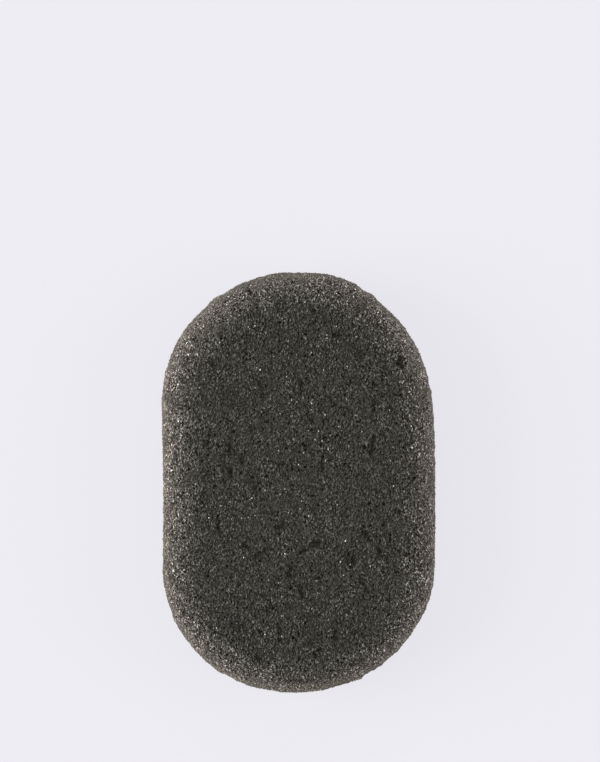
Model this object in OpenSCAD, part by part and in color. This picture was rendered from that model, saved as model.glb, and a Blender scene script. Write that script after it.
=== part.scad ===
// Konjac sponge: an oval pillow of charcoal-grey open-celled foam, lying on its back face.
// The origin is the middle of the outline on the resting plane, with +Z up.
// +Y points to the rounder head end, -Y to the blunter foot end.
// The sponge is one casting. Its zones, a coarse core inside tight-celled skins, are cut from one
// half section of tangent arcs, which is swept round the outline.

/* [Outline] */
// Length over both ends
sponge_l = 120; // [100:1:160]
// Width over the two straight sides
sponge_w = 78; // [66:1:90]
// Reach of the blunter foot end past the straight sides
foot_reach = 35; // [26:0.5:42]

/* [Section] */
// Height of the sponge as it lies
sponge_t = 32; // [28:0.5:40]
// Depth that is pressed flat under the sponge where it rests
rest_depth = 0.5; // [0.2:0.1:1]
// Radius of the crown across the face and the back
crown_r = 320; // [200:10:600]
// Radius of the rounding between a face and the side wall
edge_r = 12; // [9:0.5:13]
// Radius of the bulge of the side wall
wall_r = 26; // [20:1:60]

/* [Skin] */
// Thickness of the tight-celled skin over the coarse core
skin_t = 1.5; // [0.8:0.1:3]

/* [Smoothness] */
// Facets along the crown, from its middle to the rounding
crown_facets = 8; // [3:1:12]
// Facets along the rounding between a face and the side wall
edge_facets = 18; // [8:1:32]
// Facets along the side wall
wall_facets = 6; // [2:1:16]

/* [Hidden] */
// Facets of a full turn
$fn = 128;
// Overrun of the resting cut past the outline
overrun = 2;
// Most of the half height that the rounding may take
edge_most_share = 0.88;

// Outline
half_w = sponge_w / 2;
head_y = sponge_l / 2 - half_w;
foot_y = foot_reach - sponge_l / 2;
foot_share = foot_reach / half_w;

// Section, drawn about its middle height, with x outwards from the sponge's middle
half_t = (sponge_t + rest_depth) / 2;
round_r = min(edge_r, half_t * edge_most_share);
crown_centre = [0, half_t - crown_r];
wall_centre = [half_w - wall_r, 0];
edge_centre = meeting_centre(crown_centre, wall_centre, crown_r - round_r, wall_r - round_r);
crown_end = facing(crown_centre, edge_centre);
wall_start = facing(wall_centre, edge_centre);

// Point at a distance of to_a from a and to_b from b, on the right of the way from a to b
function meeting_centre(a, b, to_a, to_b) =
    let (
        span = norm(b - a),
        forward = (b - a) / span,
        along = (to_a * to_a - to_b * to_b + span * span) / (2 * span),
        across = sqrt(to_a * to_a - along * along)
    )
    a + along * forward + across * [forward.y, -forward.x];

// Direction from one point to another, in degrees up from level
function facing(from, to) = atan2(to.y - from.y, to.x - from.x);

// Points along an arc of the surface, or of a surface that lies a depth below it
function arc_line(centre, r, from, to, facets, depth) = [
    for (i = [0 : facets])
        let (dir = from + (to - from) * i / facets)
        centre + (r - depth) * [cos(dir), sin(dir)]
];

// A line's points from its last to its first
function reversed(points) = [for (i = [len(points) - 1 : -1 : 0]) points[i]];

// A line's points without the first, which the line before it already holds
function rest_of(points) = [for (i = [1 : len(points) - 1]) points[i]];

// A line mirrored to the other face, so that it runs on from the middle height
function mirrored(points) = [for (p = reversed(points)) [p.x, -p.y]];

// Lines of the half section at a depth below the surface: face crown, rim from face to back, back crown
function crown_line(depth) = arc_line(crown_centre, crown_r, 90, crown_end, crown_facets, depth);
function edge_line(depth) = arc_line(edge_centre, round_r, crown_end, wall_start, edge_facets, depth);
function wall_line(depth) = arc_line(wall_centre, wall_r, wall_start, -wall_start, wall_facets, depth);
function rim_line(depth) = concat(
    edge_line(depth), rest_of(wall_line(depth)), rest_of(mirrored(edge_line(depth)))
);

// Half section between a line of the surface and the same line at the depth of the skin
module skin_section(outer, inner) {
    polygon(concat(outer, reversed(inner)));
}

// Sweeps a half section round the outline: the head end, the straight sides and the blunter foot end
module swept_round() {
    translate([0, head_y, 0]) rotate_extrude(angle = 180) children();
    translate([0, head_y, 0]) rotate([90, 0, 0]) linear_extrude(head_y - foot_y) {
        children();
        mirror([1, 0]) children();
    }
    translate([0, foot_y, 0]) scale([1, foot_share, 1]) rotate([0, 0, 180]) rotate_extrude(angle = 180)
        children();
}

// Sets a swept zone on the resting plane and takes off what is pressed flat under it
module laid_flat() {
    difference() {
        translate([0, 0, half_t - rest_depth]) children();
        translate([-half_w - overrun, -sponge_l / 2 - overrun, -rest_depth - overrun])
            cube([sponge_w + 2 * overrun, sponge_l + 2 * overrun, rest_depth + overrun]);
    }
}

// Coarse open-celled inside of the casting
module foam_core() {
    crown = crown_line(skin_t);
    color([0.17, 0.17, 0.16])
        laid_flat() swept_round()
            polygon(concat(crown, rest_of(rim_line(skin_t)), rest_of(mirrored(crown))));
}

// Skin of the face that is turned up, out to where the rounding begins
module face_skin() {
    color([0.24, 0.23, 0.22])
        laid_flat() swept_round() skin_section(crown_line(0), crown_line(skin_t));
}

// Skin of the face that the sponge lies on
module back_skin() {
    color([0.22, 0.21, 0.20])
        laid_flat() swept_round() skin_section(mirrored(crown_line(0)), mirrored(crown_line(skin_t)));
}

// Skin of the rounded edge and the side wall, one closed band
module rim_skin() {
    color([0.33, 0.32, 0.30])
        laid_flat() swept_round() skin_section(rim_line(0), rim_line(skin_t));
}

foam_core();
face_skin();
back_skin();
rim_skin();
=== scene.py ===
"""Konjac sponge: an oval pillow of charcoal-grey open-celled foam, seen from straight above.

The sponge is one casting. Its face, back and rim skins and the core inside them are swept here
from the same tangent arcs as their solids. The skins then get their relief: the drift and nicks of
the outline, soft lumps, pits and creases, scattered pores and the cells of the foam itself. The
core follows the outline's drift and has coarser cells of its own.
"""

import logging
import math
from dataclasses import dataclass, field
from enum import Enum
from typing import Any, Self

import bpy
import numpy as np
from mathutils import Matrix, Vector
from mathutils.kdtree import KDTree


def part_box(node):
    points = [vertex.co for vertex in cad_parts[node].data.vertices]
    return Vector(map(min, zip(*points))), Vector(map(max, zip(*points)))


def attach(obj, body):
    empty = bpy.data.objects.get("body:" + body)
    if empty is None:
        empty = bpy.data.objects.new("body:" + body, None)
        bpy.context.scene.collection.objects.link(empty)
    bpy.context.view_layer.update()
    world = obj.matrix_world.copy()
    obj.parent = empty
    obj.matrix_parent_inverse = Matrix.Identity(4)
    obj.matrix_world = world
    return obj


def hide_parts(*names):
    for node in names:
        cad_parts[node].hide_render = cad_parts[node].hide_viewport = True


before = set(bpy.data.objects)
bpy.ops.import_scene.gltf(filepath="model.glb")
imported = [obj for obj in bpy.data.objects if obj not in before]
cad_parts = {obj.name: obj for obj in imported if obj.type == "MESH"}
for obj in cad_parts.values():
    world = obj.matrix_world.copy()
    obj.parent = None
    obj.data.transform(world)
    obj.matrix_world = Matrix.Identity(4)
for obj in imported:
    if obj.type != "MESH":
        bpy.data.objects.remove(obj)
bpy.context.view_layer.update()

MM = 0.001
TINY = 1e-12  # the least divisor, so that nothing is divided by 0
SKIN_CELL = 0.66 * MM
CORE_CELL = 1.6 * MM
CORE_PATCH = 8.0 * MM
NOISE_MEAN = 0.5
log = logging.getLogger("konjac_sponge")


@dataclass(frozen=True)
class PhotoFrame:
    """The frame of the photograph, which the camera repeats, and the sponge's place in it."""

    width_px: float = 600.0
    height_px: float = 762.0
    middle_px: tuple[float, float] = (298.5, 481.5)
    px_per_m: float = 3500.0

    def place(self, spot: tuple[float, float]) -> np.ndarray:
        """Returns the place of a pixel, in metres from the middle of the sponge."""
        right, down = np.subtract(spot, self.middle_px) / self.px_per_m
        return np.array([right, -down])


PHOTO = PhotoFrame()


def meeting_centre(a: np.ndarray, b: np.ndarray, to_a: float, to_b: float) -> np.ndarray:
    """Finds the centre of an arc that touches two others.

    Args:
        a: Centre of the first arc.
        b: Centre of the second arc.
        to_a: Distance of the wanted centre from a.
        to_b: Distance of the wanted centre from b.

    Returns:
        The point at those distances, on the right of the way from a to b.
    """
    span = float(np.linalg.norm(b - a))
    forward = (b - a) / span
    along = (to_a**2 - to_b**2 + span**2) / (2 * span)
    across = math.sqrt(to_a**2 - along**2)
    return a + along * forward + across * np.array([forward[1], -forward[0]])


def facing(start: np.ndarray, end: np.ndarray) -> float:
    """Returns the direction from one point to another, in radians up from level."""
    return math.atan2(end[1] - start[1], end[0] - start[0])


@dataclass(frozen=True)
class Wave:
    """A plane wave: its turns along x, y and z, and where it starts, in radians."""

    turns: tuple[float, float, float]
    start: float = 0.0

    def at(self, phase: np.ndarray) -> np.ndarray:
        """Returns the wave at places whose x, y and z are given in radians."""
        return np.sin(phase @ np.array(self.turns) + self.start)


@dataclass(frozen=True)
class Wander:
    """Small shifts from side to side, so that no crease runs quite straight."""

    most: float = 0.28 * MM
    length: float = 2.6 * MM
    bend: float = 0.6
    ripple: float = 0.5
    along_start: float = 2.0
    across_bend: Wave = Wave((1.7, 0.0, 1.0))
    across_ripple: Wave = Wave((1.4, 2.3, 0.0), 1.0)
    along_bend: Wave = Wave((0.0, 1.9, -1.0))
    along_ripple: Wave = Wave((2.1, -1.6, 0.0), 3.0)
    upward: Wave = Wave((1.0, 1.0, 1.0))

    def shift(self, place: np.ndarray) -> np.ndarray:
        """Gives the shift at places on the surface.

        Args:
            place: The places.

        Returns:
            The shifts, of which the longest are about as long as the most.
        """
        phase = 2 * math.pi * place / self.length
        across = np.sin(phase[:, 1] + self.bend * self.across_bend.at(phase))
        along = np.sin(phase[:, 0] + self.bend * self.along_bend.at(phase) + self.along_start)
        across += self.ripple * self.across_ripple.at(phase)
        along += self.ripple * self.along_ripple.at(phase)
        return self.most / (1 + self.ripple) * np.stack([across, along, self.upward.at(phase)], axis=-1)


def smooth_step(value: np.ndarray, low: float, high: float) -> np.ndarray:
    """Returns 0 below low and 1 above high, with a smooth rise between them."""
    share = np.clip((value - low) / (high - low), 0.0, 1.0)
    return share * share * (3 - 2 * share)


class Rows:
    """What dataclasses share whose fields are arrays with a row for each point."""

    def pick(self, chosen: np.ndarray | slice) -> Self:
        """Returns the rows that an index array or a slice names."""
        return type(self)(*(rows[chosen] for rows in vars(self).values()))

    def joined(self, *others: Self) -> Self:
        """Returns these rows and those of others as one set."""
        sets = zip(*(vars(part).values() for part in (self, *others)))
        return type(self)(*(np.concatenate(rows) for rows in sets))


@dataclass
class SectionLine(Rows):
    """A line of the half section: reach from the spine, height, and the way out of the foam."""

    reach: np.ndarray
    height: np.ndarray
    out_level: np.ndarray
    out_up: np.ndarray


@dataclass
class Section:
    """Half section of the casting in tangent arcs, from the face's crown to the back's."""

    half_w: float
    thickness: float
    rest_depth: float = 0.5 * MM
    crown_r: float = 320 * MM
    edge_r: float = 12 * MM
    wall_r: float = 26 * MM

    def __post_init__(self) -> None:
        """Works out the arcs' centres and the directions in which they meet."""
        half_t = (self.thickness + self.rest_depth) / 2
        self.mid_z = half_t - self.rest_depth
        self.crown_centre = np.array([0.0, half_t - self.crown_r])
        self.wall_centre = np.array([self.half_w - self.wall_r, 0.0])
        self.edge_centre = meeting_centre(
            self.crown_centre, self.wall_centre, self.crown_r - self.edge_r, self.wall_r - self.edge_r
        )
        self.crown_end = facing(self.crown_centre, self.edge_centre)
        self.wall_start = facing(self.wall_centre, self.edge_centre)

    def crown(self, share: np.ndarray, depth: float) -> SectionLine:
        """Gives the crown of the face.

        Args:
            share: Shares of the way from the middle to the seam.
            depth: Depth below the surface.

        Returns:
            The line, with a point for each share.
        """
        direction = np.arccos(share * math.cos(self.crown_end))
        level, up = np.cos(direction), np.sin(direction)
        radius = self.crown_r - depth
        return SectionLine(radius * level, self.mid_z + self.crown_centre[1] + radius * up, level, up)

    def rim(self, rows: int, depth: float) -> SectionLine:
        """Gives the rounding, the side wall and the lower rounding, from seam to seam.

        Args:
            rows: Number of steps along the line.
            depth: Depth below the surface.

        Returns:
            The line, with steps of one length.
        """
        edge_turn = self.crown_end - self.wall_start
        edge_len, wall_len = self.edge_r * edge_turn, self.wall_r * 2 * self.wall_start
        run = np.linspace(0.0, 2 * edge_len + wall_len, rows + 1)
        upper = self.crown_end - run / self.edge_r
        wall = self.wall_start - (run - edge_len) / self.wall_r
        lower = -self.wall_start - (run - edge_len - wall_len) / self.edge_r
        on_upper, on_lower = run < edge_len, run > edge_len + wall_len
        direction = np.where(on_upper, upper, np.where(on_lower, lower, wall))
        on_wall = ~(on_upper | on_lower)
        radius = np.where(on_wall, self.wall_r, self.edge_r) - depth
        centre_x = np.where(on_wall, self.wall_centre[0], self.edge_centre[0])
        centre_z = np.where(on_wall, 0.0, np.where(on_upper, 1.0, -1.0) * self.edge_centre[1])
        level, up = np.cos(direction), np.sin(direction)
        return SectionLine(centre_x + radius * level, self.mid_z + centre_z + radius * up, level, up)


@dataclass
class Stations(Rows):
    """Places on the sponge's spine, each with a way out and a share of the reach that way."""

    spine: np.ndarray
    way_x: np.ndarray
    way_y: np.ndarray
    share: np.ndarray
    stretch: np.ndarray


@dataclass(frozen=True)
class Grid:
    """How finely the outline is divided: steps across it, and steps along its straight sides."""

    columns: int
    straights: int

    @property
    def rows(self) -> int:
        """Number of steps from the foot to the head."""
        return 2 * (self.columns // 2) + self.straights

    @property
    def around(self) -> int:
        """Number of points on the edge."""
        return 2 * (self.columns + self.rows)

    def index(self) -> np.ndarray:
        """Returns the numbers of the grid's points, in rows from foot to head."""
        return np.arange((self.rows + 1) * (self.columns + 1)).reshape(self.rows + 1, self.columns + 1)

    def edge(self) -> np.ndarray:
        """Returns the points on the grid's edge, anticlockwise from its lower left corner."""
        index = self.index()
        return np.concatenate([index[0, :-1], index[:-1, -1], index[-1, :0:-1], index[:0:-1, 0]])

    def coarser(self, times: int) -> "Grid":
        """Returns a grid whose steps are longer by a whole number of times."""
        return Grid(self.columns // times, self.straights // times)


@dataclass
class Outline:
    """The outline: a round head, two straight sides and a blunter foot."""

    half_w: float
    length: float
    foot_reach: float = 35 * MM

    def __post_init__(self) -> None:
        """Works out where the straight sides end and how much blunter the foot is."""
        self.head_y = self.length / 2 - self.half_w
        self.foot_y = self.foot_reach - self.length / 2
        self.foot_share = self.foot_reach / self.half_w

    def stations(self, grid: Grid) -> Stations:
        """Lays a grid over the outline, whose two ends are squares drawn out to half discs.

        Args:
            grid: How finely the outline is divided.

        Returns:
            The stations, in rows from foot to head and columns from left to right.
        """
        end_rows, points_across = grid.columns // 2, grid.columns + 1
        rows = np.arange(grid.rows + 1)
        past_head = np.clip((rows - end_rows - grid.straights) / end_rows, 0.0, 1.0)
        past_foot = np.clip((end_rows - rows) / end_rows, 0.0, 1.0)
        along = np.clip((rows - end_rows) / grid.straights, 0.0, 1.0)
        u, v = np.meshgrid(np.linspace(-1.0, 1.0, points_across), past_head + past_foot)
        on_spine = self.foot_y + along * (self.head_y - self.foot_y)
        spine = np.repeat(on_spine[:, None], points_across, axis=1)
        share = np.maximum(np.abs(u), v)
        safe = np.maximum(share, TINY)
        end_on = v >= np.abs(u)
        turn = np.where(end_on, math.pi / 2 - math.pi / 4 * u / safe, math.pi / 4 * v / safe)
        turn = np.where(~end_on & (u < 0), math.pi - turn, turn)
        at_foot = np.repeat((past_foot > 0)[:, None], points_across, axis=1)
        way_y = np.where(at_foot, -np.sin(turn), np.sin(turn))
        stretch = np.where(at_foot, self.foot_share, 1.0)
        parts = (spine, np.cos(turn), way_y, share, stretch)
        return Stations(*(part.ravel() for part in parts))

    def sweep(self, at: Stations, line: SectionLine) -> tuple[np.ndarray, np.ndarray]:
        """Carries points of the half section out to their stations.

        Args:
            at: The stations.
            line: A point of the section for each station.

        Returns:
            The points, and the directions out of the foam there.
        """
        points = np.stack(
            [line.reach * at.way_x, at.spine + line.reach * at.way_y * at.stretch, line.height], axis=-1
        )
        out = np.stack(
            [line.out_level * at.way_x, line.out_level * at.way_y / at.stretch, line.out_up], axis=-1
        )
        return points, out / np.linalg.norm(out, axis=-1, keepdims=True)


@dataclass(frozen=True)
class Swell:
    """A stretch of the rim that stands proud of the true oval, or falls short if its rise is negative.

    It fades over its reach along the outline, and over how tall it is up and down the side wall. The
    lengths are in millimetres.
    """

    spot_px: tuple[float, float]
    rise: float
    reach: float
    tall: float = 60.0

    def lift(self, on_edge: np.ndarray, up: np.ndarray) -> np.ndarray:
        """Returns how far points move outwards, for places on the outline and heights over the middle."""
        gap = np.linalg.norm(on_edge - PHOTO.place(self.spot_px), axis=-1)
        return self.rise * MM * np.exp(-((gap / MM / self.reach) ** 2) / 2 - (up / MM / self.tall) ** 2 / 2)


@dataclass(frozen=True)
class Dent:
    """A pit in the face, or a crease where its two ends lie apart.

    It ends at its reach from the line between them, and its shade is the painted shade inside it, from 0 to
    1.
    The lengths are in millimetres.
    """

    start_px: tuple[float, float]
    end_px: tuple[float, float]
    reach: float
    depth: float
    shade: float


OUTLINE_SWELLS = {
    "right_shoulder_drawn_in": Swell((402, 338), -1.15, 15),
    "right_flank_drawn_in": Swell((430, 388), -0.4, 6.5),
    "left_flank_drawn_in": Swell((162, 510), -0.45, 16),
    "left_shoulder_full": Swell((186, 338), 0.35, 12),
    "left_foot_corner_full": Swell((240, 673), 0.58, 10),
    "left_foot_flank_drawn_in": Swell((167, 597), -0.28, 4.5),
    "right_foot_corner_drawn_in": Swell((407, 628), -0.82, 11),
    "foot_right_flat": Swell((344, 684), -0.28, 4),
    "head_right_full": Swell((331, 274), 0.28, 4),
    "head_top_drawn_in": Swell((303, 272), -0.35, 4),
    "right_head_corner": Swell((354, 283), 0.35, 2.2, 6),
    "right_head_nick": Swell((366, 291), -0.15, 1.4, 6),
    "right_head_bank": Swell((372, 294), 0.35, 1.8, 7),
    "right_head_hollow": Swell((382, 305), -0.25, 3, 7),
    "left_head_corner": Swell((247, 281), 0.12, 1.6, 5),
    "left_head_flat": Swell((256, 278), -0.2, 2.2, 6),
    "left_head_nick": Swell((225, 294), -0.3, 1.3, 5),
    "left_head_step": Swell((218, 297), 0.4, 1.5, 5),
    "left_head_drop": Swell((202, 311), -0.28, 1.8, 6),
    "foot_lip": Swell((359, 679), 0.55, 1.4, 4),
    "foot_lip_drop": Swell((368, 673), -0.3, 1.6, 5),
    "right_foot_step": Swell((382, 665), 0.12, 1.4, 5),
    "right_foot_drop": Swell((387, 662), -0.22, 1.4, 5),
    "left_foot_corner": Swell((217, 669), 0.3, 1.8, 5),
    "left_foot_flat": Swell((225, 675), -0.25, 1.6, 6),
}

# Pits and creases, each pressed into the mesh; its shade is painted shade inside it, darkest along its middle
FACE_DENTS = {
    "right_shoulder_pit": Dent((403, 359), (403, 364), 1.5, 1.1, 0.75),
    "head_pit": Dent((250, 291), (251, 293), 0.8, 0.9, 0.9),
    "foot_hollow": Dent((258, 655), (260, 658), 1.8, 0.55, 0.55),
    "left_crease": Dent((219, 515), (220, 530), 0.7, 0.6, 0.64),
    "left_upper_crease": Dent((230, 445), (231, 452), 0.9, 0.6, 0.6),
    "left_middle_crease": Dent((232, 468), (232, 475), 0.9, 0.6, 0.52),
    "left_inner_crease": Dent((241, 455), (243, 462), 0.8, 0.45, 0.45),
    "left_fold": Dent((275, 462), (286, 463), 0.8, 0.45, 0.41),
    "left_low_pit": Dent((246, 542), (249, 547), 0.8, 0.55, 0.64),
    "right_upper_crease": Dent((373, 382), (373, 388), 0.8, 0.45, 0.56),
    "right_upper_fold": Dent((374, 398), (373, 411), 0.8, 0.5, 0.52),
    "middle_low_branch": Dent((301, 551), (313, 543), 0.8, 0.5, 0.49),
    "right_low_branch": Dent((347, 548), (355, 561), 0.9, 0.45, 0.45),
    "right_flank_hollow": Dent((377, 547), (384, 555), 1.1, 0.45, 0.45),
    "right_low_fold": Dent((359, 577), (369, 592), 0.8, 0.4, 0.41),
    "left_low_arch": Dent((255, 556), (268, 546), 0.8, 0.4, 0.38),
    "foot_upper_fold": Dent((289, 573), (291, 565), 0.8, 0.5, 0.49),
    "foot_middle_fold": Dent((279, 622), (281, 637), 0.9, 0.45, 0.45),
    "foot_left_hollow": Dent((230, 614), (244, 625), 2.0, 0.4, 0.22),
    "foot_right_hollow": Dent((334, 634), (336, 636), 1.0, 0.5, 0.56),
    "right_flank_pit": Dent((396, 510), (397, 510), 0.6, 0.7, 0.9),
    "right_crease": Dent((373, 436), (371, 453), 0.9, 0.45, 0.56),
    "right_lower_crease": Dent((362, 528), (368, 537), 0.9, 0.5, 0.64),
    "middle_low_hollow": Dent((314, 540), (318, 541), 1.1, 0.6, 0.62),
    "right_low_hollow": Dent((349, 554), (352, 556), 1.5, 0.45, 0.45),
    "left_smear": Dent((276, 526), (283, 524), 0.8, 0.4, 0.52),
    "middle_crease": Dent((301, 381), (301, 393), 0.8, 0.4, 0.49),
    "foot_crease": Dent((300, 584), (301, 594), 0.9, 0.5, 0.56),
    "middle_pit": Dent((304, 444), (305, 445), 0.6, 0.8, 1.0),
    "left_middle_pit": Dent((263, 429), (263, 430), 0.5, 0.7, 1.0),
    "upper_middle_pit": Dent((289, 422), (289, 423), 0.45, 0.7, 1.0),
    "foot_pit": Dent((291, 585), (291, 586), 0.55, 0.7, 1.0),
    "right_foot_pit": Dent((344, 595), (344, 596), 0.5, 0.7, 1.0),
    "low_foot_pit": Dent((315, 650), (316, 651), 0.55, 0.7, 1.0),
    "head_right_hollow": Dent((335, 335), (339, 336), 1.0, 0.6, 0.7),
    "right_rim_hollow": Dent((378, 322), (381, 325), 1.1, 0.5, 0.4),
    "left_rim_hollow": Dent((212, 362), (215, 367), 1.3, 0.45, 0.35),
    "left_rim_pit": Dent((196, 339), (196, 340), 0.7, 0.8, 0.9),
    "left_head_pit": Dent((209, 341), (209, 342), 0.6, 0.7, 0.8),
    "right_low_pit": Dent((389, 612), (389, 613), 0.6, 0.7, 0.8),
    "foot_inner_crease": Dent((271, 598), (269, 607), 0.7, 0.4, 0.45),
    "foot_right_patch": Dent((350, 621), (354, 628), 1.5, 0.35, 0.3),
    "foot_low_hollow": Dent((309, 638), (311, 642), 0.8, 0.4, 0.38),
    "head_left_hollow": Dent((277, 306), (280, 310), 1.0, 0.4, 0.34),
    "head_middle_hollow": Dent((312, 308), (314, 312), 0.9, 0.4, 0.34),
    "right_shoulder_patch": Dent((355, 347), (361, 356), 2.2, 0.3, 0.13),
    "middle_upper_crease": Dent((307, 406), (309, 419), 0.7, 0.4, 0.34),
    "middle_right_fold": Dent((330, 399), (335, 404), 0.9, 0.35, 0.26),
    "middle_right_crease": Dent((322, 461), (323, 470), 0.7, 0.4, 0.38),
    "left_flank_hollow": Dent((254, 486), (256, 491), 0.8, 0.4, 0.38),
    "right_flank_smear": Dent((390, 408), (394, 414), 1.0, 0.35, 0.3),
    "left_shoulder_fold": Dent((258, 381), (264, 389), 0.8, 0.35, 0.3),
    "foot_edge_hollow": Dent((294, 677), (299, 678), 1.4, 0.5, 0.7),
    # The broad, shallow dents below are mostly painted shade: darker patches on the face, pressed in only a
    # little
    "foot_border_sink": Dent((284, 672), (326, 674), 3.6, 0.08, 0.13),
    "foot_right_border_sink": Dent((340, 669), (358, 660), 3.2, 0.08, 0.13),
    "left_face_sink": Dent((226, 470), (227, 535), 2.8, 0.06, 0.09),
    "left_shoulder_sink": Dent((226, 388), (266, 410), 4.5, 0.08, 0.08),
    "right_flank_sink": Dent((381, 458), (393, 482), 2.4, 0.05, 0.09),
    "head_left_sink": Dent((238, 303), (262, 326), 3.4, 0.06, 0.09),
    "head_right_sink": Dent((374, 342), (394, 346), 2.4, 0.06, 0.1),
}


@dataclass
class SurfacePoints(Rows):
    """Points of a mesh with what the relief and the finish read from them.

    The place changes with the relief and the rest doesn't. Skin is 1 where the relief reaches and 0
    where it doesn't, turn is 0 on a level surface and 1 on an upright one, and the pit shade is how dark pits
    and creases are painted: painted shade.
    """

    place: np.ndarray
    out: np.ndarray
    rest: np.ndarray
    skin: np.ndarray
    turn: np.ndarray
    pit: np.ndarray


@dataclass
class Hollow:
    """A dent or a pore where it lies on the surface, all in metres. Its shade is painted shade."""

    start: np.ndarray
    end: np.ndarray
    reach: float
    depth: float
    shade: float


@dataclass
class Pores:
    """Open pores scattered over the skins, a few large and many small, each sunk in and darkened with painted
    shade.
    """

    seed: int = 11
    count: int = 900
    least_reach: float = 0.3 * MM
    most_reach: float = 0.6 * MM
    depth_share: float = 1.1
    size_bias: float = 3.0
    least_shade: float = 0.35

    def scatter(self, surface: np.ndarray) -> list[Hollow]:
        """Picks where the pores open.

        Args:
            surface: Points of the whole surface, evenly spread.

        Returns:
            The pores.
        """
        draw = np.random.default_rng(self.seed)
        chosen = draw.choice(len(surface), self.count, replace=False)
        grown = draw.random(self.count) ** self.size_bias
        reaches = self.least_reach + (self.most_reach - self.least_reach) * grown
        shades = self.least_shade + (1 - self.least_shade) * draw.random(self.count)
        return [
            Hollow(place, place, reach, reach * self.depth_share, shade)
            for place, reach, shade in zip(surface[chosen], reaches, shades)
        ]


@dataclass
class Relief:
    """What a sponge's skin shows besides its true oval form: swells, dents and pores."""

    outline: Outline
    section: Section
    wander: Wander = Wander()
    swell_from: float = 0.45
    deepest: float = 0.8 * MM

    def drift(self, points: SurfacePoints, at: Stations) -> None:
        """Moves the rim in and out along the outline.

        Args:
            points: The points, whose places are changed.
            at: Their stations.
        """
        half_w = self.outline.half_w
        edge = np.stack([half_w * at.way_x, at.spine + half_w * at.way_y * at.stretch], axis=-1)
        off_middle = points.place[:, 2] - self.section.mid_z
        lift = sum(swell.lift(edge, off_middle) for swell in OUTLINE_SWELLS.values())
        reach = np.hypot(points.place[:, 0], (points.place[:, 1] - at.spine) / at.stretch)
        lift = lift * smooth_step(reach / half_w, self.swell_from, 1.0)
        points.place[:, 0] += lift * at.way_x
        points.place[:, 1] += lift * at.way_y

    def press(self, points: SurfacePoints, hollow: Hollow, tree: KDTree) -> None:
        """Presses one pit or crease into the surface.

        Args:
            points: The points, whose places and painted pit shade are changed.
            hollow: The pit or crease.
            tree: Finder of the points.
        """
        line = hollow.end - hollow.start
        middle, half = (hollow.start + hollow.end) / 2, float(np.linalg.norm(line)) / 2
        found = tree.find_range(Vector(middle), half + hollow.reach)
        if not found:
            return
        near = np.array([index for _, index, _ in found])
        from_start = points.rest[near] + self.wander.shift(points.rest[near]) - hollow.start
        along = np.clip(from_start @ line / max(float(line @ line), TINY), 0.0, 1.0)
        gap = np.linalg.norm(from_start - along[:, None] * line, axis=-1) / hollow.reach
        bowl = np.clip(1 - gap**2, 0.0, 1.0) * points.skin[near]
        points.place[near] -= (hollow.depth * bowl)[:, None] * points.out[near]
        # Painted shade in the pit or crease, darkest along its middle
        points.pit[near] = np.maximum(points.pit[near], hollow.shade * bowl)

    def apply(self, points: SurfacePoints, at: Stations, hollows: list[Hollow]) -> None:
        """Gives one piece its whole relief, no deeper than the skin can hold.

        Args:
            points: The piece's points, which are changed.
            at: Their stations.
            hollows: The dents and pores.
        """
        self.drift(points, at)
        level = points.place.copy()
        tree = KDTree(len(points.rest))
        for index, place in enumerate(points.rest):
            tree.insert(place, index)
        tree.balance()
        for hollow in hollows:
            self.press(points, hollow, tree)
        sunk = np.sum((level - points.place) * points.out, axis=-1)
        too_deep = np.maximum(sunk - self.deepest * points.skin, 0.0)
        points.place += too_deep[:, None] * points.out


@dataclass
class Patchwork:
    """Faces of a mesh while it is put together, each corner with its place on the bake map."""

    corners: list[np.ndarray] = field(default_factory=list)
    places: list[np.ndarray] = field(default_factory=list)

    def add(self, corners: np.ndarray, places: np.ndarray, first: int = 0) -> None:
        """Adds faces that all have as many corners, and whose own points are numbered from the first."""
        self.corners.append(corners + first)
        self.places.append(places)

    def mesh(self, name: str, points: np.ndarray) -> bpy.types.Mesh:
        """Makes the mesh.

        Args:
            name: Name of the mesh.
            points: Its points.

        Returns:
            The mesh, with its bake map.
        """
        made = bpy.data.meshes.new(name)
        sizes = np.concatenate([np.full(len(c), c.shape[1]) for c in self.corners])
        flat = np.concatenate([c.ravel() for c in self.corners])
        made.vertices.add(len(points))
        made.vertices.foreach_set("co", points.astype(np.float32).ravel())
        made.loops.add(len(flat))
        made.loops.foreach_set("vertex_index", flat.astype(np.int32))
        made.polygons.add(len(sizes))
        starts = np.concatenate([[0], np.cumsum(sizes)[:-1]])
        made.polygons.foreach_set("loop_start", starts.astype(np.int32))
        bake = made.uv_layers.new(name="OFBake")
        flat_places = np.concatenate([p.reshape(-1, 2) for p in self.places])
        bake.uv.foreach_set("vector", flat_places.astype(np.float32).ravel())
        made.update(calc_edges=True)
        made.validate()
        return made


@dataclass(frozen=True)
class MapBox:
    """A rectangle of the bake map, and the share of a strip in it that is left free at each side."""

    left: float
    low: float
    wide: float
    tall: float
    gap_share: float = 0.03

    def fit(self, across: np.ndarray, along: np.ndarray) -> np.ndarray:
        """Returns places in the rectangle for shares across and along it."""
        return np.stack([self.left + self.wide * across, self.low + self.tall * along], axis=-1)


def grid_faces(grid: Grid, box: MapBox, face_up: bool) -> tuple[np.ndarray, np.ndarray]:
    """Lists the faces of a grid whose points run in rows.

    Args:
        grid: The grid.
        box: Its place on the bake map.
        face_up: Whether the faces look up, and not down.

    Returns:
        The faces' corners and the corners' places on the map.
    """
    index = grid.index()
    blocks = (index[:-1, :-1], index[:-1, 1:], index[1:, 1:], index[1:, :-1])
    corners = np.stack([block.ravel() for block in blocks], axis=-1)
    if not face_up:
        corners = corners[:, ::-1]
    row, column = np.divmod(corners, grid.columns + 1)
    return corners, box.fit(column / grid.columns, row / grid.rows)


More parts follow.
